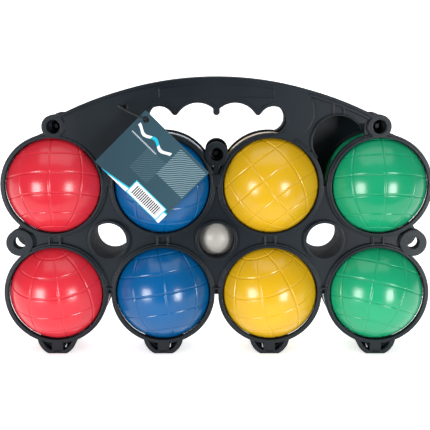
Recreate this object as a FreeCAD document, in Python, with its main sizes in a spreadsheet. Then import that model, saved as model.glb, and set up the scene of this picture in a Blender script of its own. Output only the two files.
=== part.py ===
# A boules set in its carry case, in millimetres, with +X to the viewer's right, +Y to the rear and
# +Z up. The case is two like mouldings, front and rear, hinged at four feet and pinned together by
# three posts. Pieces are drawn about the middle of the case and lifted onto its feet at the end.
import FreeCAD, Part
import math
import os

DRIVING = [  # alias, millimetres or degrees, and what it is
    ("ball_dia", 72.0, "outside diameter of a ball"),
    ("shell_wall", 3.0, "wall of a hollow ball"),
    ("plug_rad", 5.0, "radius of the filler plug"),
    ("plug_long", 7.0, "length of the filler plug"),
    ("jack_dia", 30.0, "diameter of the jack"),
    ("column_pitch", 75.0, "centre to centre of balls in a row"),
    ("row_pitch", 76.6, "centre to centre of the two rows"),
    ("seat_gap", 0.3, "clearance between a ball and its seat"),
    ("half_depth", 18.0, "middle of the case to its outermost faces"),
    ("bore_open", 1.7, "a ring's hole beyond the seat's own circle at the face, on the radius"),
    ("ring_wall", 3.1, "radial width of a ball ring"),
    ("lip_wall", 1.7, "radial width of a ball ring's raised lip"),
    ("lip_step", 1.0, "flange of a ball ring below its lip"),
    ("ring_depth", 7.0, "depth of a ball ring"),
    ("tube_land", 2.6, "radius of the jack beyond the hole in a small ring"),
    ("tube_wall", 1.9, "wall of a small ring"),
    ("tube_back", 7.5, "middle of the case to the inner end of a small ring"),
    ("face_step", 0.7, "face of the handle below its raised edge"),
    ("face_wall", 2.6, "thickness of the handle's face"),
    ("edge_wall", 2.2, "wall round the handle's edge and finger opening"),
    ("edge_depth", 11.0, "depth of that wall"),
    ("web_step", 3.0, "face of a web below the ring faces"),
    ("web_wall", 2.0, "thickness of a web"),
    ("rib_wall", 1.1, "thickness of a small rib"),
    ("rib_gap", 3.6, "spacing of the paired ribs from their middle"),
    ("arch_cover", 5.1, "side post's centre to the arched edge above it"),
    ("arch_rise", 74.5, "top row's centre line to the top of the arch"),
    ("lobe_rad", 16.0, "radius of the two middle finger scallops"),
    ("lobe_across", 12.7, "middle of the handle to a middle scallop"),
    ("lobe_top", 57.2, "top row's centre line to the top of the middle scallops"),
    ("end_rad", 9.7, "radius of the end scallops"),
    ("end_across", 38.7, "middle of the handle to an end scallop"),
    ("end_drop", 2.4, "end scallops lower than the middle ones by this"),
    ("valley_drop", 7.0, "valleys between scallops lower than the middle ones by this"),
    ("nub_rad", 2.3, "radius of the rounded tip between two scallops"),
    ("nub_across", 28.2, "middle of the handle to the tip beside an end scallop"),
    ("nub_drop", 6.1, "centres of the tips lower than the middle scallops by this"),
    ("post_rise", 41.0, "top row's centre line to the side posts"),
    ("post_in", 1.5, "outer column's centre line to a side post, inwards"),
    ("centre_rise", 22.0, "top row's centre line to the middle post"),
    ("stem_wide", 4.4, "width of the stem that carries the middle post"),
    ("head_rad", 8.1, "radius of a post's head"),
    ("post_rad", 6.2, "radius of a post"),
    ("socket_rad", 4.7, "radius of the deep hole in a post's head"),
    ("socket_depth", 9.0, "depth of that hole"),
    ("pin_rad", 1.9, "radius of a snap pin"),
    ("pin_gap", 1.1, "clearance round a snap pin"),
    ("post_gap", 0.4, "gap between a front and a rear post"),
    ("lug_out", 24.2, "outer column's centre line to a lug's hole"),
    ("lug_rad", 9.3, "radius of a side lug"),
    ("lug_bore", 4.2, "radius of a side lug's hole"),
    ("lug_drop", 1.5, "lugs lower than the middle by this"),
    ("pocket_rad", 17.5, "radius of the open pocket's round corner"),
    ("pocket_in", 29.5, "outer column's centre line to the pocket's centre"),
    ("pocket_rise", 31.0, "top row's centre line to the pocket's centre"),
    ("pocket_side", 14.0, "pocket's centre to its straight side, inwards"),
    ("pocket_high", 12.0, "pocket's centre to the top of its straight part"),
    ("pocket_edge", 11.5, "outer column's centre line to the pocket's outer side"),
    ("recess_deep", 1.3, "depth of the ribbed recess round the pocket"),
    ("recess_in", 35.0, "pocket's centre to the recess's inner end"),
    ("recess_low", 24.0, "top row's centre line to the bottom of the recess"),
    ("recess_rim", 4.4, "arched edge to the recesses in the handle"),
    ("grip_rad", 19.5, "radius of the grip's round raised end"),
    ("grip_in", 36.0, "pocket's centre to the centre of that round end"),
    ("grip_rise", 51.0, "top row's centre line to the centre of that round end"),
    ("panel_rise", 60.8, "top row's centre line to the bottom of the handle's panel"),
    ("panel_deep", 0.6, "depth of the handle's panel"),
    ("opening_low", 8.0, "top row's centre line to the lowest cut of the finger opening"),
    ("rim_step", 0.6, "small ribs below the ring faces"),
    ("bar_reach", 9.5, "half the length of a hinge bar"),
    ("foot_rad", 14.0, "outside radius of a foot's loop"),
    ("foot_wall", 3.0, "thickness of a foot's loop"),
    ("foot_flat", 1.5, "height taken off the loop to stand on"),
    ("foot_reach", 7.0, "bottom of the ball rings to the floor"),
    ("foot_front", 8.0, "hinge line to the front end of a rear foot"),
    ("loop_depth", 6.0, "depth of a front foot"),
    ("notch_back", 7.5, "hinge line to the rear end of a foot's slot"),
    ("rod_rad", 1.5, "radius of a hinge bar"),
    ("rod_height", 3.6, "floor to the hinge line"),
    ("hinge_gap", 0.08, "running clearance of a barrel on its bar"),
    ("barrel_rad", 3.0, "outside radius of a hinge barrel"),
    ("tongue_wide", 8.0, "width of a hinge tongue"),
    ("tongue_gap", 0.5, "side clearance of a hinge tongue"),
    ("tag_long", 58.5, "length of the swing tag"),
    ("tag_wide", 48.0, "width of the swing tag"),
    ("tag_wall", 0.5, "thickness of the swing tag"),
    ("tag_gap", 0.7, "swing tag in front of the ball that it covers"),
    ("tag_in", 5.0, "middle of the tag to its own ball's column, across"),
    ("tag_rise", 15.9, "middle of the tag above the top row's centre line"),
    ("eyelet_rad", 2.2, "radius of the tag's hole"),
    ("eyelet_in", 4.4, "short edge of the tag to its hole"),
    ("eyelet_down", 4.4, "long edge of the tag to its hole"),
    ("tie_rad", 0.45, "radius of the tie's strand"),
    ("tie_loop", 13.5, "radius of the tie's loop"),
    ("tie_room", 0.8, "room for the tie where it passes through the handle"),
    ("fill_gap", 0.1, "gap between a ball's wall and its water"),
]

doc = FreeCAD.newDocument("boules_set")
sheet = doc.addObject("Spreadsheet::Sheet", "Sizes")
for row, (alias, number, meaning) in enumerate(DRIVING, start=1):
    sheet.set(f"A{row}", str(number))
    sheet.setAlias(f"A{row}", alias)
    sheet.set(f"B{row}", meaning)
doc.recompute()


class Size:
    """A size worked out from the sheet: its value now, and the same sum as an expression."""

    def __init__(self, value, text):
        self.value = float(value)
        self.text = text

    def __add__(self, other):
        other = as_size(other)
        return Size(self.value + other.value, f"({self.text} + {other.text})")

    def __sub__(self, other):
        other = as_size(other)
        return Size(self.value - other.value, f"({self.text} - {other.text})")

    def __mul__(self, factor):
        factor = as_size(factor)
        return Size(self.value * factor.value, f"({self.text} * {factor.text})")

    def __truediv__(self, factor):
        factor = as_size(factor)
        return Size(self.value / factor.value, f"({self.text} / {factor.text})")

    def __neg__(self):
        return self * -1

    __radd__ = __add__
    __rmul__ = __mul__

    def root(self):
        return Size(self.value ** 0.5, f"sqrt({self.text})")


def as_size(number):
    return number if isinstance(number, Size) else Size(number, f"({number})")


def dim(alias):
    return Size(getattr(sheet, alias), f"Sizes.{alias}")


def bind(item, **sizes):
    for name, size in sizes.items():
        setattr(item, name, as_size(size).value)
        item.setExpression(name, as_size(size).text)
    return item


def move(item, across, back, up):
    """Places an item at a spot that follows the sheet, keeping the way it is turned."""
    for axis, size in zip("xyz", (across, back, up)):
        item.setExpression(f"Placement.Base.{axis}", as_size(size).text)
    return item


X_AXIS, Y_AXIS, Z_AXIS = FreeCAD.Vector(1, 0, 0), FreeCAD.Vector(0, 1, 0), FreeCAD.Vector(0, 0, 1)
parts = {}


def new(kind, name):
    return doc.addObject(f"Part::{kind}", name)


def rod(radius, front, rear, across, up, name="rod"):
    """A round bar along Y, from front to rear."""
    item = bind(new("Cylinder", name), Radius=radius, Height=as_size(rear) - front)
    item.Placement = FreeCAD.Placement(FreeCAD.Vector(), FreeCAD.Rotation(X_AXIS, -90))
    return move(item, across, front, up)


def bar(radius, left, right, back, up, name="bar"):
    """A round bar along X, from left to right."""
    item = bind(new("Cylinder", name), Radius=radius, Height=as_size(right) - left)
    item.Placement = FreeCAD.Placement(FreeCAD.Vector(), FreeCAD.Rotation(Y_AXIS, 90))
    return move(item, left, back, up)


def block(left, right, front, rear, low, high, name="block"):
    item = bind(new("Box", name), Length=as_size(right) - left,
                Width=as_size(rear) - front, Height=as_size(high) - low)
    return move(item, left, front, low)


def ball(radius, across, up, name="ball"):
    return move(bind(new("Sphere", name), Radius=radius), across, 0, up)


def fuse(items, name="joined"):
    item = new("MultiFuse", name)
    item.Shapes = items
    return item


def cut(base, tool, name="cut"):
    item = new("Cut", name)
    item.Base, item.Tool = base, tool
    return item


def common(items, name="overlap"):
    item = new("MultiCommon", name)
    item.Shapes = items
    return item


# ---- places that more than one piece shares --------------------------------------------------
ball_rad = dim("ball_dia") / 2
half_pitch = dim("column_pitch") / 2
outer = dim("column_pitch") * 1.5
row = dim("row_pitch") / 2
columns = [-outer, -half_pitch, half_pitch, outer]
small_rings = [-dim("column_pitch"), as_size(0), dim("column_pitch")]
face = -dim("half_depth")
seat_rad = ball_rad + dim("seat_gap")
ring_bore = (seat_rad * seat_rad - face * face).root() + dim("bore_open")
ring_outer = ring_bore + dim("ring_wall")
tube_bore = dim("jack_dia") / 2 - dim("tube_land")
tube_back = -dim("tube_back")
post_back = -dim("post_gap") / 2
ring_back = face + dim("ring_depth")
plate_front = face + dim("face_step")
plate_back = plate_front + dim("face_wall")
web_front = face + dim("web_step")
web_back = web_front + dim("web_wall")
wall_back = face + dim("edge_depth")
floor = -row - ring_outer - dim("foot_reach")
hinge_up = floor + dim("rod_height")
arch_top = row + dim("arch_rise")
arch_sag = dim("arch_rise") - dim("post_rise") - dim("arch_cover")
arch_rad = (outer * outer + arch_sag * arch_sag) / (arch_sag * 2)
arch_up = arch_top - arch_rad
side_post = outer - dim("post_in")
posts = [(-side_post, row + dim("post_rise")), (as_size(0), row + dim("centre_rise")),
         (side_post, row + dim("post_rise"))]
lobe_up = row + dim("lobe_top") - dim("lobe_rad")
end_up = row + dim("lobe_top") - dim("end_drop") - dim("end_rad")
pocket_across = outer - dim("pocket_in")
pocket_up = row + dim("pocket_rise")
PAST = as_size(1)  # how far a cutting tool runs past the face that it opens


# ---- one half of the case --------------------------------------------------------------------
def scallops(grow, front, rear, label):
    """The finger opening's tool: four lobes over a slot that runs down to the rings."""
    lobes = [rod(dim("lobe_rad") + grow, front, rear, side * dim("lobe_across"), lobe_up)
             for side in (-1, 1)]
    ends = [rod(dim("end_rad") + grow, front, rear, side * dim("end_across"), end_up)
            for side in (-1, 1)]
    slot = block(-dim("end_across"), dim("end_across"), front, rear, row + dim("opening_low"),
                 row + dim("lobe_top") - dim("valley_drop") + grow)
    return fuse(lobes + ends + [slot], label)


def arch(inset, front, rear, low, label):
    """The region under the arched edge, from one side post to the other."""
    disc = rod(arch_rad - inset, front, rear, 0, arch_up)
    span = block(-outer + inset, outer - inset, front, rear, low, arch_top + PAST)
    return common([disc, span], label)


def handle(half):
    """The handle and gussets: a thin face, its raised edge and the wall round the opening."""
    skin = arch(as_size(0), plate_front, plate_back, row, f"{half}_skin")
    edge = cut(arch(as_size(0), face, wall_back, row + dim("post_rise"), f"{half}_edge_outer"),
               arch(dim("edge_wall"), face - PAST, wall_back + PAST, row, f"{half}_edge_inner"),
               f"{half}_edge")
    lining = common([scallops(dim("edge_wall"), face, wall_back, f"{half}_lining"),
                     arch(as_size(0), face, wall_back, row + dim("opening_low"), f"{half}_lining_zone")])
    grip = common([rod(dim("grip_rad"), face, plate_back, pocket_across - dim("grip_in"),
                       row + dim("grip_rise")),
                   arch(as_size(0), face, plate_back, row, f"{half}_grip_zone"),
                   block(dim("end_across"), pocket_across, face, plate_back,
                         row + dim("opening_low"), arch_top, f"{half}_grip_side")])
    recess = common([
        arch(dim("recess_rim"), face - PAST, plate_front + dim("recess_deep"), row + dim("recess_low"),
             f"{half}_recess_zone"),
        block(pocket_across - dim("recess_in"), outer, face - PAST, plate_back, row, arch_top)])
    panel = common([
        arch(dim("recess_rim"), face - PAST, plate_front + dim("panel_deep"), row, f"{half}_panel_zone"),
        block(-dim("end_across"), dim("end_across"), face - PAST, plate_back,
              row + dim("panel_rise"), arch_top)])
    pocket = fuse([
        rod(dim("pocket_rad"), face - PAST, plate_back + PAST, pocket_across, pocket_up),
        block(pocket_across - dim("pocket_side"), outer - dim("pocket_edge"), face - PAST,
              plate_back + PAST, row, pocket_up + dim("pocket_high"))])
    collar = rod(dim("pocket_rad") + dim("rib_wall"), face, plate_back, pocket_across, pocket_up)
    stays = [block(pocket_across + side * dim("rib_gap") - dim("rib_wall") / 2,
                   pocket_across + side * dim("rib_gap") + dim("rib_wall") / 2,
                   plate_front, plate_back, pocket_up, arch_top) for side in (-1, 1)]
    ribs = common([fuse(stays), arch(dim("edge_wall"), face, plate_back, row, f"{half}_rib_zone")])
    flat = cut(skin, fuse([recess, panel]), f"{half}_flat")
    raised = fuse([flat, edge, lining, grip, collar, ribs], f"{half}_raised")
    nubs = [rod(dim("nub_rad"), face - PAST * 2, wall_back + PAST * 2, side * dim("nub_across"),
                row + dim("lobe_top") - dim("nub_drop")) for side in (-1, 0, 1)]
    opening = cut(scallops(as_size(0), face - PAST, wall_back + PAST, f"{half}_scallops"), fuse(nubs),
                  f"{half}_opening")
    return cut(raised, fuse([opening, pocket]), f"{half}_handle")


def webs(half):
    """Recessed webs between the rings, with the small paired ribs at their narrow places."""
    field = block(-outer, outer, web_front, web_back, -row, row)
    arms = block(-outer - dim("lug_out"), outer + dim("lug_out"), web_front, web_back,
                 -dim("lug_drop") - dim("post_rad"), -dim("lug_drop") + dim("post_rad"))
    pairs = [block(across + side * dim("rib_gap") - dim("rib_wall") / 2,
                   across + side * dim("rib_gap") + dim("rib_wall") / 2,
                   face + dim("rim_step"), web_back, -dim("post_rad"), dim("post_rad"))
             for across in columns for side in (-1, 1)]
    ties = [block(across - dim("post_rad"), across + dim("post_rad"), face + dim("rim_step"), web_back,
                  -row + side * dim("rib_gap"), -row + side * dim("rib_gap") + dim("rib_wall"))
            for across in small_rings for side in (0, 1)]
    return fuse([field, arms] + pairs + ties, f"{half}_webs")


def half_case(half):
    """One moulding, drawn as the front half, before its posts and hinge are finished."""
    rings = [rod(ring_outer, face + dim("lip_step"), ring_back, across, up)
             for across in columns for up in (-row, row)]
    lips = [rod(ring_bore + dim("lip_wall"), face, ring_back, across, up)
            for across in columns for up in (-row, row)]
    tubes = [rod(tube_bore + dim("tube_wall"), face, back, across, 0)
             for across, back in zip(small_rings, (post_back, tube_back, post_back))]
    heads = [rod(dim("head_rad"), face, ring_back, across, up) for across, up in posts]
    shafts = [rod(dim("post_rad"), face, post_back, across, up) for across, up in posts]
    stem = block(-dim("stem_wide") / 2, dim("stem_wide") / 2, web_front, web_back, row,
                 row + dim("centre_rise"))
    lugs = [rod(dim("lug_rad"), face, ring_back, side * (outer + dim("lug_out")), -dim("lug_drop"))
            for side in (-1, 1)]
    return fuse([handle(half), webs(half), stem] + rings + lips + tubes + heads + shafts + lugs,
                f"{half}_blank")


def hollows(half):
    """Everything that is taken out of a half: seats, holes and sockets."""
    seats = [ball(seat_rad, across, up) for across in columns for up in (-row, row)]
    bores = [rod(ring_bore, face - PAST, ring_back + PAST, across, up)
             for across in columns for up in (-row, row)]
    holes = [rod(tube_bore, face - PAST, 0, across, 0) for across in small_rings]
    eyes = [rod(dim("lug_bore"), face - PAST, ring_back + PAST, side * (outer + dim("lug_out")),
                -dim("lug_drop")) for side in (-1, 1)]
    sockets = [rod(dim("socket_rad"), face - PAST, face + dim("socket_depth"), across, up)
               for across, up in posts]
    jack_seat = ball(dim("jack_dia") / 2 + dim("seat_gap"), 0, 0)
    return fuse(seats + bores + holes + eyes + sockets + [jack_seat], f"{half}_hollows")


# ---- hinge, posts and the two finished halves ------------------------------------------------
def foot_loop(across, front, rear):
    """A loop under a ring that the case stands on, flat at the floor."""
    top = -row - ring_outer + dim("foot_wall") * 2
    centre = floor - dim("foot_flat") + dim("foot_rad")
    loop = cut(rod(dim("foot_rad"), front, rear, across, centre),
               rod(dim("foot_rad") - dim("foot_wall"), front - PAST, rear + PAST, across, centre))
    return common([loop, block(across - dim("foot_rad"), across + dim("foot_rad"), front, rear,
                               floor, top)])


def rear_foot(across):
    """A foot of the rear half, with its hinge bar and a slot for the tongue."""
    slot = dim("tongue_wide") / 2 + dim("tongue_gap")
    loop = foot_loop(across, -dim("foot_front"), dim("half_depth"))
    notch = block(across - slot, across + slot, -dim("foot_front") - PAST, dim("notch_back"),
                  floor - PAST, hinge_up + dim("rod_height"))
    hinge_bar = bar(dim("rod_rad"), across - dim("bar_reach"), across + dim("bar_reach"), 0, hinge_up)
    above = fuse([ball(seat_rad, across, -row),
                  rod(ring_outer, -ring_back, dim("half_depth") + PAST, across, -row)])
    return cut(fuse([cut(loop, notch), hinge_bar]), above, "rear_foot")


def front_feet():
    """Four feet of the front half, each with a tongue whose barrel turns on a hinge bar."""
    pieces = []
    for across in columns:
        left, right = across - dim("tongue_wide") / 2, across + dim("tongue_wide") / 2
        drop = block(left, right, face, face + dim("face_wall"), hinge_up - dim("rod_rad"),
                     -row - ring_outer + dim("lip_step") * 2)
        reach = block(left, right, face, 0, hinge_up - dim("rod_rad"), hinge_up + dim("rod_rad"))
        pieces += [foot_loop(across, face, face + dim("loop_depth")), drop, reach,
                   bar(dim("barrel_rad"), left, right, 0, hinge_up, "barrel")]
    return pieces


# ---- where the tag and its tie hang -----------------------------------------------------------
TAG_TURN = 45  # degrees that the tag hangs askew
TIE_TURN = 24  # degrees that the tie's loop leans
LEAN_COS, LEAN_SIN = math.cos(math.radians(TIE_TURN)), math.sin(math.radians(TIE_TURN))
SLANT = as_size(0.5).root()  # sine and cosine of that turn
tag_across = -half_pitch - dim("tag_in")
tag_up = row + dim("tag_rise")
tag_front = -ball_rad - dim("tag_gap") - dim("tag_wall")
eye_left = dim("eyelet_in") - dim("tag_long") / 2
eye_top = dim("tag_wide") / 2 - dim("eyelet_down")
eye_across = tag_across + (eye_left + eye_top) * SLANT
eye_up = tag_up + (eye_top - eye_left) * SLANT
tie_back = (tag_front + plate_back) / 2
half_span = (plate_back - tag_front) / 2
tie_reach = (dim("tie_loop") * dim("tie_loop") - half_span * half_span).root()
tie_across = eye_across - tie_reach * LEAN_COS
tie_up = eye_up + tie_reach * LEAN_SIN


def tie_ring(strand, name):
    """The tie's closed loop, through the tag's hole and round the edge of the finger opening."""
    item = bind(new("Torus", name), Radius1=dim("tie_loop"), Radius2=strand)
    item.Placement = FreeCAD.Placement(FreeCAD.Vector(), FreeCAD.Rotation(Y_AXIS, TIE_TURN))
    return move(item, tie_across, tie_back, tie_up)


# ---- the two finished halves ------------------------------------------------------------------
front_axle = [bar(dim("rod_rad") + dim("hinge_gap"), across - dim("tongue_wide"),
                  across + dim("tongue_wide"), 0, hinge_up) for across in columns]
pin_holes = [rod(dim("pin_rad") + dim("pin_gap"), face, PAST, across, up) for across, up in posts]
front_hollows = fuse([hollows("front"), tie_ring(dim("tie_rad") + dim("tie_room"), "tie_way")]
                     + front_axle + pin_holes)
parts["front_frame"] = cut(fuse([half_case("front")] + front_feet()), front_hollows)

rear_half = cut(half_case("rear"), hollows("rear"), "rear_half")
rear_half.Placement = FreeCAD.Placement(FreeCAD.Vector(), FreeCAD.Rotation(Z_AXIS, 180))
pins = [rod(dim("pin_rad"), face + dim("socket_depth") - PAST, dim("ring_depth"), across, up)
        for across, up in posts]
parts["rear_frame"] = fuse([rear_half] + pins)


# ---- balls, jack, tag and tie -----------------------------------------------------------------
# How each ball has come to lie: colour, row, degrees that its moulding's pole is turned to the
# left, and degrees that it leans to the rear. The plug is at whichever pole leans to the rear.
LIE = [
    ("red", "lower", 4, -20), ("red", "upper", 2, 20),
    ("blue", "lower", 10, 8), ("blue", "upper", -6, -20),
    ("yellow", "lower", 16, -16), ("yellow", "upper", 38, 14),
    ("green", "lower", -14, 20), ("green", "upper", 0, 18),
]


def ball_pieces(colour, level, across, up, turn, lean):
    """A hollow ball with its filler plug and the water inside."""
    inner = ball_rad - dim("shell_wall")
    flip = FreeCAD.Rotation(X_AXIS, 180 if lean < 0 else 0)
    look = FreeCAD.Rotation(Y_AXIS, -turn) * FreeCAD.Rotation(X_AXIS, -lean) * flip

    def plug_way(radius):
        item = bind(new("Cylinder", "plug_way"), Radius=radius, Height=ball_rad + PAST)
        item.Placement = FreeCAD.Placement(FreeCAD.Vector(), look)
        return move(item, across, 0, up)

    hollow = cut(ball(ball_rad, across, up), ball(inner, across, up))
    depth = ball_rad - dim("plug_long")
    parts[f"ball_shell_{colour}_{level}"] = cut(hollow, plug_way(dim("plug_rad")))
    parts[f"ball_plug_{colour}_{level}"] = cut(
        common([ball(ball_rad, across, up), plug_way(dim("plug_rad"))]), ball(depth, across, up))
    sump = cut(plug_way(dim("plug_rad") + dim("seat_gap")), ball(depth - dim("seat_gap"), across, up))
    parts[f"ball_fill_{colour}_{level}"] = cut(ball(inner - dim("fill_gap"), across, up), sump)


places = dict(zip(("red", "blue", "yellow", "green"), columns))
for colour, across in places.items():
    parts[f"foot_{colour}"] = rear_foot(across)
for colour, level, turn, lean in LIE:
    ball_pieces(colour, level, places[colour], row if level == "upper" else -row, turn, lean)

parts["jack_ball"] = ball(dim("jack_dia") / 2, 0, 0)

card = block(-dim("tag_long") / 2, dim("tag_long") / 2, 0, dim("tag_wall"),
             -dim("tag_wide") / 2, dim("tag_wide") / 2, "card")
eyelet = rod(dim("eyelet_rad"), -PAST, dim("tag_wall") + PAST, eye_left, eye_top, "eyelet")
tag_blank = cut(card, eyelet, "tag_blank")
tag_blank.Placement = FreeCAD.Placement(FreeCAD.Vector(), FreeCAD.Rotation(Y_AXIS, TAG_TURN))
parts["swing_tag"] = move(tag_blank, tag_across, tag_front, tag_up)
parts["tag_tie"] = tie_ring(dim("tie_rad"), "tie")

# ---- lift every piece onto the floor, with the origin under the middle of the whole box --------
tie_front = tie_back - dim("tie_loop") - dim("tie_rad")
shift = -(tie_front + ball_rad) / 2
nodes = {}
for node, piece in parts.items():
    sub = new("Compound", node)
    sub.Links = [piece]
    sub.Label = node
    nodes[node] = move(sub, 0, shift, -floor)
doc.recompute()

for item in doc.Objects:
    if "Invalid" in item.State or "Error" in item.State:
        raise RuntimeError(f"{item.Name} failed: {item.State}")
os.makedirs("parts", exist_ok=True)
for node, sub in nodes.items():
    shape = sub.Shape
    if shape.isNull() or not shape.isValid() or len(shape.Solids) != 1:
        raise RuntimeError(f"{node}: null, invalid or not one solid ({len(shape.Solids)})")
    shape.exportStep(f"parts/{node}.step")
    box = shape.BoundBox
    print(f"{node}: volume {shape.Volume:.0f}, x {box.XMin:.1f} to {box.XMax:.1f}, "
          f"y {box.YMin:.1f} to {box.YMax:.1f}, z {box.ZMin:.1f} to {box.ZMax:.1f}")
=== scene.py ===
# %% [markdown]
# # A boules set in its carry case
# The case is dark moulded plastic, the balls are glossy coloured plastic with thin grooves, and a
# printed card hangs from the handle. The frame brings in the measured model, and everything here
# is built around it, in metres.

# %% Load the frame
import math

import bmesh
import bpy
from mathutils import Matrix, Vector


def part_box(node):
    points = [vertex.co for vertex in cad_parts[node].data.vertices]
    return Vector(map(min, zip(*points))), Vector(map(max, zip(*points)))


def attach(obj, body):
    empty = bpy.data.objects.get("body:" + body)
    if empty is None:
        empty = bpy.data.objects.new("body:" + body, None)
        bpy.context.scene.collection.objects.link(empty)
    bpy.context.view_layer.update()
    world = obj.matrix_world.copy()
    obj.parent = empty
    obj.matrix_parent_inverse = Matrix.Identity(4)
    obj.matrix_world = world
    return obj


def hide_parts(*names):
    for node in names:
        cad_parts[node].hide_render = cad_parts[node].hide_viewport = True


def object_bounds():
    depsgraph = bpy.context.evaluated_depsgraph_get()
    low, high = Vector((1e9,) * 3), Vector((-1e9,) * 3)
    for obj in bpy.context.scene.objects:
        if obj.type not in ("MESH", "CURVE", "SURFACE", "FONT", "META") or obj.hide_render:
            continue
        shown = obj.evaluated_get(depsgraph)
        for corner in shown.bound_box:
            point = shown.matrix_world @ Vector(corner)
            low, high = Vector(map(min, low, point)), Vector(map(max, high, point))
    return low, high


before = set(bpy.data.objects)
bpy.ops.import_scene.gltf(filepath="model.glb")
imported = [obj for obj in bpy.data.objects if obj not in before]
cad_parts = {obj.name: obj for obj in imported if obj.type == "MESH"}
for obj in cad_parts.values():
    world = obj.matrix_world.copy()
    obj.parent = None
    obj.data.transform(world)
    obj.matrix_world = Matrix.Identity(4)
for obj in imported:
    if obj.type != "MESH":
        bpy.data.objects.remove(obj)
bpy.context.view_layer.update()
mm = 0.001

# %% [markdown]
# ## Shader maths as plain sums
# A material is a graph of nodes. This small class wraps one output socket, so that a sum on
# sockets adds the Math node that works it out, and the rest of the file can read like arithmetic.


# %% A socket that can be added and multiplied
class Value:
    def __init__(self, paint, socket):
        self.paint, self.socket = paint, socket

    def sum(self, operation, *others):
        return self.paint.node("ShaderNodeMath", {"operation": operation}, (self, *others))

    def __add__(self, other):
        return self.sum("ADD", other)

    def __sub__(self, other):
        return self.sum("SUBTRACT", other)

    def __mul__(self, other):
        return self.sum("MULTIPLY", other)

    def __rsub__(self, other):
        return self.paint.node("ShaderNodeMath", {"operation": "SUBTRACT"}, (other, self))

    def __gt__(self, other):
        return self.sum("GREATER_THAN", other)

    def __lt__(self, other):
        return self.sum("LESS_THAN", other)

    __radd__, __rmul__ = __add__, __mul__

    def wave(self):
        return self.sum("SINE")

    def rest(self):
        return self.sum("FRACT")

    def size(self):
        return self.sum("ABSOLUTE")

    def between(self, low, high):
        """1 where the value lies between low and high, else 0."""
        return (self > low) * (self < high)

    def spread(self, low, high, to_low, to_high):
        """Maps low..high onto to_low..to_high, and stops at the ends."""
        return self.paint.node("ShaderNodeMapRange", {}, (self, low, high, to_low, to_high))


class Paint:
    """One material, its Principled shader, and the one method that adds any node."""

    def __init__(self, name, **constants):
        self.material = bpy.data.materials.new(name)
        self.material.use_nodes = True
        self.tree = self.material.node_tree
        self.shader = self.tree.nodes["Principled BSDF"]
        for socket, constant in constants.items():
            self.shader.inputs[socket.replace("_", " ")].default_value = constant

    def node(self, kind, settings, inputs, output=0):
        made = self.tree.nodes.new(kind)
        for name, setting in settings.items():
            setattr(made, name, setting)
        pairs = inputs.items() if isinstance(inputs, dict) else enumerate(inputs)
        for key, given in pairs:
            if isinstance(given, Value):
                self.tree.links.new(given.socket, made.inputs[key])
            elif given is not None:
                made.inputs[key].default_value = given
        return Value(self, made.outputs[output])

    def noise(self, scale, detail=3.0, where=None):
        place = where or self.node("ShaderNodeTexCoord", {}, (), "Object")
        return self.node("ShaderNodeTexNoise", {}, {"Vector": place, "Scale": scale, "Detail": detail})

    def mix(self, factor, first, second):
        """A colour between two colours."""
        return self.node("ShaderNodeMix", {"data_type": "RGBA"}, {0: factor, 6: first, 7: second}, 2)

    def put(self, socket, value):
        self.tree.links.new(value.socket, self.shader.inputs[socket])

    def bump(self, height, depth, strength=1.0, rounding=0.0):
        """Fine relief in metres, over edges that are rounded by so many metres."""
        inputs = {"Strength": strength, "Distance": depth, "Height": height}
        if rounding:
            inputs["Normal"] = self.node("ShaderNodeBevel", {"samples": 6}, (rounding,))
        self.put("Normal", self.node("ShaderNodeBump", {}, inputs))


def colour(red, green, blue):
    """A colour as the eye reads it, 0 to 255, turned into the linear light that shaders use."""
    linear = [(c / 255 / 12.92) if c < 11 else ((c / 255 + 0.055) / 1.055) ** 2.4
              for c in (red, green, blue)]
    return (*linear, 1.0)


# %% [markdown]
# ## Case plastic
# The case is injection-moulded polypropylene: dark slate, half glossy, with a very fine spark
# texture, faint flow marks, and edges that the mould leaves round. The rounding comes from a
# Bevel node, so the edges catch light as thin lines.

# %% Case plastic
def case_plastic():
    paint = Paint("case_plastic", Specular_IOR_Level=0.3)
    flow, grain = paint.noise(14.0, 4.0), paint.noise(2600.0, 2.0)
    patches = flow.spread(0.35, 0.65, 0.0, 1.0)
    paint.put("Base Color", paint.mix(patches, colour(11, 20, 27), colour(17, 27, 35)))
    # the walls that run to the rear are dragged dull as they leave the mould
    normal = paint.node("ShaderNodeTexCoord", {}, (), "Normal")
    along = paint.node("ShaderNodeSeparateXYZ", {}, (normal,), "Y").size()
    gloss = flow.spread(0.3, 0.7, 0.28, 0.38) + grain * 0.06
    paint.put("Roughness", gloss + along.spread(0.1, 0.5, 0.5, 0.0))
    paint.bump(grain, 0.00003, 0.5, rounding=0.0009)
    return paint.material


case_finish = case_plastic()

# %% [markdown]
# ## Ball plastic
# Each ball is blow-moulded in one bright colour. The tone drifts a little over the surface, and
# a fine orange-peel ripple breaks up the reflections. One function makes all four colours.

# %% Ball plastic
def ball_plastic(name, deep, bright):
    paint = Paint(name, Specular_IOR_Level=0.45)
    drift, peel, scuff = paint.noise(22.0, 3.0), paint.noise(420.0, 2.0), paint.noise(1500.0, 4.0)
    paint.put("Base Color", paint.mix(drift.spread(0.3, 0.7, 0.0, 1.0), deep, bright))
    paint.put("Roughness", drift.spread(0.3, 0.7, 0.17, 0.22) + scuff * 0.05)
    paint.bump(peel + scuff * 0.25, 0.00004, 0.6)
    return paint.material


BALL_COLOURS = {
    "red": (colour(196, 34, 48), colour(206, 46, 60)),
    "blue": (colour(0, 78, 132), colour(0, 88, 146)),
    "yellow": (colour(198, 154, 18), colour(210, 166, 28)),
    "green": (colour(18, 144, 98), colour(32, 156, 110)),
}
ball_finish = {name: ball_plastic(f"{name}_plastic", *pair) for name, pair in BALL_COLOURS.items()}


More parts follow.
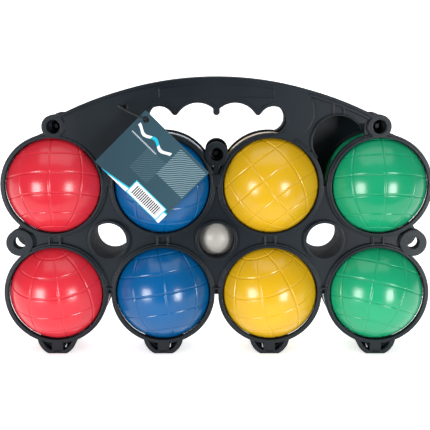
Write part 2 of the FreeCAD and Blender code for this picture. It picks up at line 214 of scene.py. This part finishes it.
# %% [markdown]
# ## Meshes from rows of points
# Every round piece here is a grid: rows of points joined into four-sided faces. A row may close
# on itself, and the first or last row may shrink to a pole.

# %% Grid helper
def grid(name, rows, body, finish, closed=True, caps=(False, False)):
    points = [point for row in rows for point in row]
    wide = len(rows[0])
    faces = []
    for r in range(len(rows) - 1):
        for c in range(wide if closed else wide - 1):
            n = (c + 1) % wide
            faces.append((r * wide + c, r * wide + n, (r + 1) * wide + n, (r + 1) * wide + c))
    for cap, r, step in ((caps[0], 0, -1), (caps[1], len(rows) - 1, 1)):
        if cap:
            faces.append(tuple(r * wide + c for c in range(wide))[::step])
    mesh = bpy.data.meshes.new(name)
    mesh.from_pydata(points, [], faces)
    mesh.shade_smooth()
    mesh.materials.append(finish)
    piece = bpy.data.objects.new(name, mesh)
    bpy.context.collection.objects.link(piece)
    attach(piece, body)
    return piece


def centre_of(node):
    low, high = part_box(node)
    return (Vector(low) + Vector(high)) / 2


def polar_frame(pole):
    """Two directions square to a pole, to measure the turns round it from."""
    side = pole.cross(Vector((0, 1, 0))).normalized()
    return side, pole.cross(side).normalized()


# %% [markdown]
# ## Grooved balls
# The grooves follow circles round the ball's own pole and lines from pole to pole, as on a globe.
# Rows and columns of points are set close together at each groove, so the groove is real shape
# and costs few faces. The plug sits at the pole that leans to the rear.

# %% Ball shapes
SKIN_IN = 0.03 * mm
BALL_RADIUS = (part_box("ball_shell_red_lower")[1][2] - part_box("ball_shell_red_lower")[0][2]) / 2 - SKIN_IN
GROOVE_HALF = 0.62 * mm
GROOVE_DEPTH = 0.38 * mm
GROOVE_PROFILE = ((-2.0, 0.0), (-1.0, 0.0), (-0.5, 0.7), (0.0, 1.0), (0.5, 0.7), (1.0, 0.0), (2.0, 0.0))
PARALLELS = 7
MERIDIANS = 10
PLUG_RADIUS = 5.0 * mm


def ball_shape(name, body, finish, centre, pole, phase):
    """The skin of a ball from the rim of its plug hole to the far pole."""
    side, ahead = polar_frame(pole)
    rim = math.asin(PLUG_RADIUS / BALL_RADIUS)
    step = math.pi / (PARALLELS + 1)
    half = GROOVE_HALF / BALL_RADIUS
    edge = half * GROOVE_PROFILE[-1][0]
    bands = [(rim, 0.9), (rim + half * 0.5, 0.3), (rim + half, 0.0)]
    for line in range(1, PARALLELS + 1):
        start = rim + half if line == 1 else (line - 1) * step + edge
        gap = line * step - edge - start
        bands += [(start + gap * part / 4, 0.0) for part in (1, 2, 3)]
        bands += [(line * step + half * place, depth) for place, depth in GROOVE_PROFILE]
    last = PARALLELS * step + edge
    bands += [(last + (math.pi - last) * part / 5, 0.0) for part in (1, 2, 3, 4, 4.9)]
    spacing = 2 * math.pi / MERIDIANS
    rows = []
    for angle, row_depth in bands:
        thin = min(half / max(math.sin(angle), 0.05), spacing * 0.15)
        fade = min(1.0, max(0.0, math.sin(angle) * 3.2 - 0.7))
        row = []
        for line in range(MERIDIANS):
            spots = [(line * spacing + thin * place, depth * fade) for place, depth in GROOVE_PROFILE]
            clear = thin * GROOVE_PROFILE[-1][0]
            gap = spacing - 2 * clear
            spots += [(line * spacing + clear + gap * part / 5, 0.0) for part in (1, 2, 3, 4)]
            for turn, depth in spots:
                radius = BALL_RADIUS - GROOVE_DEPTH * max(depth, row_depth)
                around = side * math.cos(turn + phase) + ahead * math.sin(turn + phase)
                row.append(centre + (pole * math.cos(angle) + around * math.sin(angle)) * radius)
        rows.append(row)
    return grid(name, rows, body, finish, caps=(False, True))


# %% Plug shapes
# how far out from the plug's axis, and how far past the rim of its hole, in millimetres
PLUG_OUTLINE = ((4.85, -7.0), (4.85, -0.5), (4.5, -0.05), (3.6, 0.0),
                (3.1, -0.7), (1.9, -0.8), (1.6, 0.0), (0.9, 0.2))
PLUG_SIDES = 32


def plug_shape(name, body, finish, centre, pole):
    """A push-in plug with a shallow dish in its head and a small raised boss to grip."""
    side, ahead = polar_frame(pole)
    head = BALL_RADIUS * math.cos(math.asin(PLUG_RADIUS / BALL_RADIUS))
    rows = []
    for out, along in PLUG_OUTLINE:
        row = []
        for step in range(PLUG_SIDES):
            turn = math.tau * step / PLUG_SIDES
            around = side * math.cos(turn) + ahead * math.sin(turn)
            row.append(centre + pole * (head + along * mm) + around * out * mm)
        rows.append(row)
    return grid(name, rows, body, finish, caps=(True, True))


# how far each ball's lines are turned round its own pole, in degrees
PHASES = {"red_lower": 80, "red_upper": 92, "blue_lower": 96, "blue_upper": 80, "yellow_lower": 100,
          "yellow_upper": 88, "green_lower": 76, "green_upper": 90}
for which, phase in PHASES.items():
    tint = ball_finish[which.split("_")[0]]
    centre = centre_of(f"ball_shell_{which}")
    pole = (centre_of(f"ball_plug_{which}") - centre).normalized()
    skin = ball_shape(f"ball_{which}", which, tint, centre, pole, math.radians(phase))
    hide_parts(f"ball_shell_{which}")
    plug = plug_shape(f"plug_{which}", which, tint, centre, pole)
    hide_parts(f"ball_plug_{which}")
print("balls:", len(PHASES), "of radius", round(BALL_RADIUS, 4))

# %% [markdown]
# ## The jack
# The jack is a small pale ball, moulded in two shells. A thin welded seam runs round it, and its
# surface is satin with a trace of handling marks.

# %% Jack
def jack_plastic():
    paint = Paint("jack_plastic", Specular_IOR_Level=0.5)
    cloud, peel = paint.noise(60.0, 5.0), paint.noise(900.0, 2.0)
    patches = cloud.spread(0.35, 0.65, 0.0, 1.0)
    paint.put("Base Color", paint.mix(patches, colour(150, 147, 142), colour(164, 161, 156)))
    paint.put("Roughness", cloud.spread(0.3, 0.7, 0.30, 0.42))
    paint.bump(peel, 0.00004, 0.5)
    return paint.material


JACK_RINGS, JACK_SIDES = 48, 64
JACK_IN, JACK_SEAM = 0.13 * mm, 0.12 * mm


def jack_shape():
    centre = centre_of("jack_ball")
    radius = (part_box("jack_ball")[1][2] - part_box("jack_ball")[0][2]) / 2
    rows = []
    for step in range(1, JACK_RINGS):
        angle = math.pi * step / JACK_RINGS
        seam = JACK_SEAM if step == JACK_RINGS // 2 else 0.0
        reach = radius - JACK_IN + seam
        row = []
        for k in range(JACK_SIDES):
            turn = math.tau * k / JACK_SIDES
            out = math.sin(angle)
            toward = Vector((out * math.cos(turn), out * math.sin(turn), math.cos(angle)))
            row.append(centre + toward * reach)
        rows.append(row)
    return grid("jack", rows, "jack", jack_plastic(), caps=(True, True))


jack = jack_shape()
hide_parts("jack_ball")

# %% [markdown]
# ## The swing tag
# A printed card: slate ground with a block of fine pale waves, a bright stripe, and a white
# corner that holds a rounded panel of plain bars. The card is a thin sheet with round corners and
# a punched hole. Its pattern is worked out from where each point lies on the card, across and
# along, kept in the mesh as a UV map.

# %% Tag print
TAG_TURN = math.radians(45)
EYE_IN, EYE_DOWN = 4.4 * mm, 4.4 * mm
EYE_RADIUS = 2.2 * mm


def tag_print(long, wide):
    """The card's print; places on it are millimetres from its middle, right and up."""
    paint = Paint("printed_card", Specular_IOR_Level=0.3)
    place = paint.node("ShaderNodeTexCoord", {}, (), "UV")
    right = (paint.node("ShaderNodeSeparateXYZ", {}, (place,), "X") - 0.5) * (long / mm)
    up = (paint.node("ShaderNodeSeparateXYZ", {}, (place,), "Y") - 0.5) * (wide / mm)
    # ground, a little lighter towards one corner
    fade = (right + up).spread(-45.0, 45.0, 0.0, 1.0)
    ground = paint.mix(fade, colour(30, 58, 72), colour(44, 76, 88))
    # a block of fine waves in the far corner, and a fainter one beside it
    ripple = ((right * 0.7 - up * 0.72) * 4.4 + (right * 0.3 + up * 0.3).wave() * 1.4).wave()
    block = right.between(5.0, 28.5) * up.between(-1.0, 22.0)
    ground = paint.mix(block * (ripple > 0.1) * 0.7, ground, colour(134, 158, 166))
    haze = right.between(-11.0, 5.0) * up.between(-10.5, 8.0) * (ripple > 0.4)
    ground = paint.mix(haze * 0.25, ground, colour(110, 140, 150))
    # a curling band and a dashed line in place of any wording
    curl = (up - 13.2 - (right * 0.42).wave() * 1.5).size() < 1.1
    ground = paint.mix(curl * right.between(-26.0, 3.0), ground, colour(225, 232, 235))
    ground = paint.mix(curl * right.between(-14.0, -7.0), ground, colour(0, 176, 204))
    dashes = ((up - 8.0).size() < 0.5) * right.between(-26.0, -4.0) * ((right * 0.9).rest() > 0.3)
    ground = paint.mix(dashes * 0.8, ground, colour(190, 202, 207))
    # bright stripe and white corner, cut off by a slanting line
    slope = up + 20.0 - right * 0.17
    ground = paint.mix(slope < 0.0, ground, colour(0, 172, 200))
    ground = paint.mix(slope < -1.0, ground, colour(226, 229, 231))
    # panel with plain bars
    panel_x, panel_y = (right - 12.8).size(), (up + 18.7).size()
    ground = paint.mix((panel_x < 13.9) * (panel_y < 5.4), ground, colour(0, 172, 200))
    ground = paint.mix((panel_x < 13.2) * (panel_y < 4.7), ground, colour(232, 234, 235))
    bars = ((right * 0.7).rest() > 0.42) * (panel_x < 11.0) * (panel_y < 3.3)
    ground = paint.mix(bars, ground, colour(30, 30, 34))
    fibre = paint.noise(1800.0, 3.0)
    paint.put("Base Color", ground)
    paint.put("Roughness", fibre.spread(0.3, 0.7, 0.36, 0.48))
    paint.bump(fibre, 0.00002, 0.3)
    return paint.material


# %% Tag card
TAG_LONG, TAG_WIDE, TAG_CORNER = 58.5 * mm, 48 * mm, 0.8 * mm


def tag_shape():
    """A card with round corners and a punched hole, turned to hang from one corner."""
    low, high = (Vector(corner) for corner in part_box("swing_tag"))
    middle, front, back = (low + high) / 2, low.y, high.y
    loops = [[], []]
    half_long, half_wide = TAG_LONG / 2 - TAG_CORNER, TAG_WIDE / 2 - TAG_CORNER
    for quarter, (x, z) in enumerate(((1, 1), (-1, 1), (-1, -1), (1, -1))):
        for step in range(7):
            turn = math.radians(90 * quarter + 15 * step)
            loops[0].append((x * half_long + TAG_CORNER * math.cos(turn),
                             z * half_wide + TAG_CORNER * math.sin(turn)))
    eye = (EYE_IN - TAG_LONG / 2, TAG_WIDE / 2 - EYE_DOWN)
    for step in range(32):
        turn = -math.tau * step / 32
        loops[1].append((eye[0] + EYE_RADIUS * math.cos(turn), eye[1] + EYE_RADIUS * math.sin(turn)))
    mesh = bmesh.new()
    edges = []
    for loop in loops:
        spots = [mesh.verts.new((x, 0.0, z)) for x, z in loop]
        edges += [mesh.edges.new((spots[i - 1], spots[i])) for i in range(len(spots))]
    bmesh.ops.triangle_fill(mesh, use_beauty=True, edges=edges, normal=(0, -1, 0))
    sheet = bmesh.ops.extrude_face_region(mesh, geom=mesh.faces[:])
    for part in sheet["geom"]:
        if isinstance(part, bmesh.types.BMVert):
            part.co.y = back - front
    bmesh.ops.recalc_face_normals(mesh, faces=mesh.faces)
    layer = mesh.loops.layers.uv.new("print")
    for face in mesh.faces:
        for loop in face.loops:
            loop[layer].uv = (loop.vert.co.x / TAG_LONG + 0.5, loop.vert.co.z / TAG_WIDE + 0.5)
    mesh.transform(Matrix.Translation((middle.x, front, middle.z)) @ Matrix.Rotation(TAG_TURN, 4, "Y"))
    data = bpy.data.meshes.new("tag_card")
    mesh.to_mesh(data)
    data.materials.append(tag_print(TAG_LONG, TAG_WIDE))
    card = bpy.data.objects.new("tag_card", data)
    bpy.context.collection.objects.link(card)
    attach(card, "tag")
    return card


tag = tag_shape()
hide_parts("swing_tag")

# %% [markdown]
# ## Pieces that stay as the frame made them
# The two case halves, the feet and the tie already have their real shape, so they only take a
# finish. The water sealed in the balls is never seen, and takes a plain pale-blue finish.


# %% Finishes for the frame's own pieces
def tie_plastic():
    paint = Paint("tie_plastic", Specular_IOR_Level=0.5)
    grain = paint.noise(900.0, 2.0)
    paint.put("Base Color", paint.mix(grain, colour(12, 14, 16), colour(22, 24, 27)))
    paint.put("Roughness", grain.spread(0.3, 0.7, 0.45, 0.6))
    return paint.material


def water():
    paint = Paint("water", Specular_IOR_Level=0.5)
    swirl = paint.noise(30.0, 2.0)
    paint.put("Base Color", paint.mix(swirl, colour(150, 190, 210), colour(190, 215, 228)))
    paint.put("Roughness", swirl.spread(0.3, 0.7, 0.05, 0.12))
    return paint.material


def dress(node, finish):
    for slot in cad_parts[node].material_slots:
        slot.material = finish


water_finish = water()
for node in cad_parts:
    if node.startswith("ball_fill"):
        dress(node, water_finish)
    if node.startswith("foot_") or node.endswith("_frame"):
        dress(node, case_finish)
dress("tag_tie", tie_plastic())

# %% [markdown]
# ## Floor, light and camera
# A white sweep, two upright softboxes that each ball mirrors, a broad overhead light, and a
# camera a little above the middle of the case.

# %% Stage
FLOOR_REACH, FLOOR_FRONT, FLOOR_BACK = 4.0, -0.15, 1.6
BEND_RADIUS, BACKDROP_TOP = 0.8, 3.0
low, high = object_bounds()
middle = (low + high) / 2


def plain(name, tone, rough):
    paint = Paint(name, Roughness=rough, Emission_Color=(1.0, 1.0, 1.0, 1.0), Emission_Strength=0.7)
    cloud = paint.noise(3.0, 2.0)
    paint.put("Base Color", paint.mix(cloud, colour(*(tone - 1,) * 3), colour(*(tone,) * 3)))
    return paint.material


def sweep():
    """A floor that curves up behind the object into a backdrop."""
    profile = [(FLOOR_FRONT, 0.0), (FLOOR_BACK, 0.0)]
    profile += [(FLOOR_BACK + BEND_RADIUS * math.sin(a), BEND_RADIUS * (1 - math.cos(a)))
                for a in (math.radians(9 * step) for step in range(1, 11))]
    profile += [(FLOOR_BACK + BEND_RADIUS, BACKDROP_TOP)]
    rows = [[(x, y, z + low.z) for x in (-FLOOR_REACH, FLOOR_REACH)] for y, z in profile]
    points = [point for row in rows for point in row]
    faces = [(2 * r, 2 * r + 1, 2 * r + 3, 2 * r + 2) for r in range(len(rows) - 1)]
    mesh = bpy.data.meshes.new("floor_sweep")
    mesh.from_pydata(points, [], faces)
    mesh.shade_smooth()
    mesh.materials.append(plain("studio_white", 250, 0.7))
    made = bpy.data.objects.new("floor_sweep", mesh)
    bpy.context.collection.objects.link(made)


def softbox(name, azimuth, elevation, away, wide, tall, power):
    data = bpy.data.lights.new(name, "AREA")
    data.shape, data.size, data.size_y, data.energy = "RECTANGLE", wide, tall, power
    lamp = bpy.data.objects.new(name, data)
    bpy.context.collection.objects.link(lamp)
    a, e = math.radians(azimuth), math.radians(elevation)
    toward = Vector((math.sin(a) * math.cos(e), -math.cos(a) * math.cos(e), math.sin(e)))
    lamp.location = middle + toward * away
    lamp.rotation_mode = "QUATERNION"
    lamp.rotation_quaternion = toward.to_track_quat("Z", "Y")


sweep()
softbox("softbox_left", -38, -5, 1.6, 0.50, 0.62, 19)
softbox("softbox_right", 32, -5, 1.6, 0.38, 0.62, 17)
softbox("softbox_top", 0, 72, 1.8, 2.2, 1.4, 16)
softbox("softbox_back", 180, 50, 2.0, 2.0, 1.0, 14)

world = bpy.data.worlds.new("studio")
world.use_nodes = True
world.node_tree.nodes["Background"].inputs["Color"].default_value = (1.0, 1.0, 1.0, 1.0)
world.node_tree.nodes["Background"].inputs["Strength"].default_value = 0.12
bpy.context.scene.world = world
bpy.context.scene.view_settings.view_transform = "Standard"

# %% Camera
CAMERA_RIGHT, CAMERA_AWAY, CAMERA_HEIGHT = -0.001, 0.536, 0.2039
CAMERA_PITCH = 8.1
CAMERA_LENS = 64.2
CAMERA_SHIFT = -0.1


def camera():
    data = bpy.data.cameras.new("camera")
    data.sensor_width, data.lens, data.shift_y = 36.0, CAMERA_LENS, CAMERA_SHIFT
    made = bpy.data.objects.new("camera", data)
    bpy.context.collection.objects.link(made)
    made.location = (CAMERA_RIGHT, -CAMERA_AWAY, CAMERA_HEIGHT)
    made.rotation_euler = (math.radians(90 - CAMERA_PITCH), 0.0, 0.0)
    bpy.context.scene.camera = made


camera()
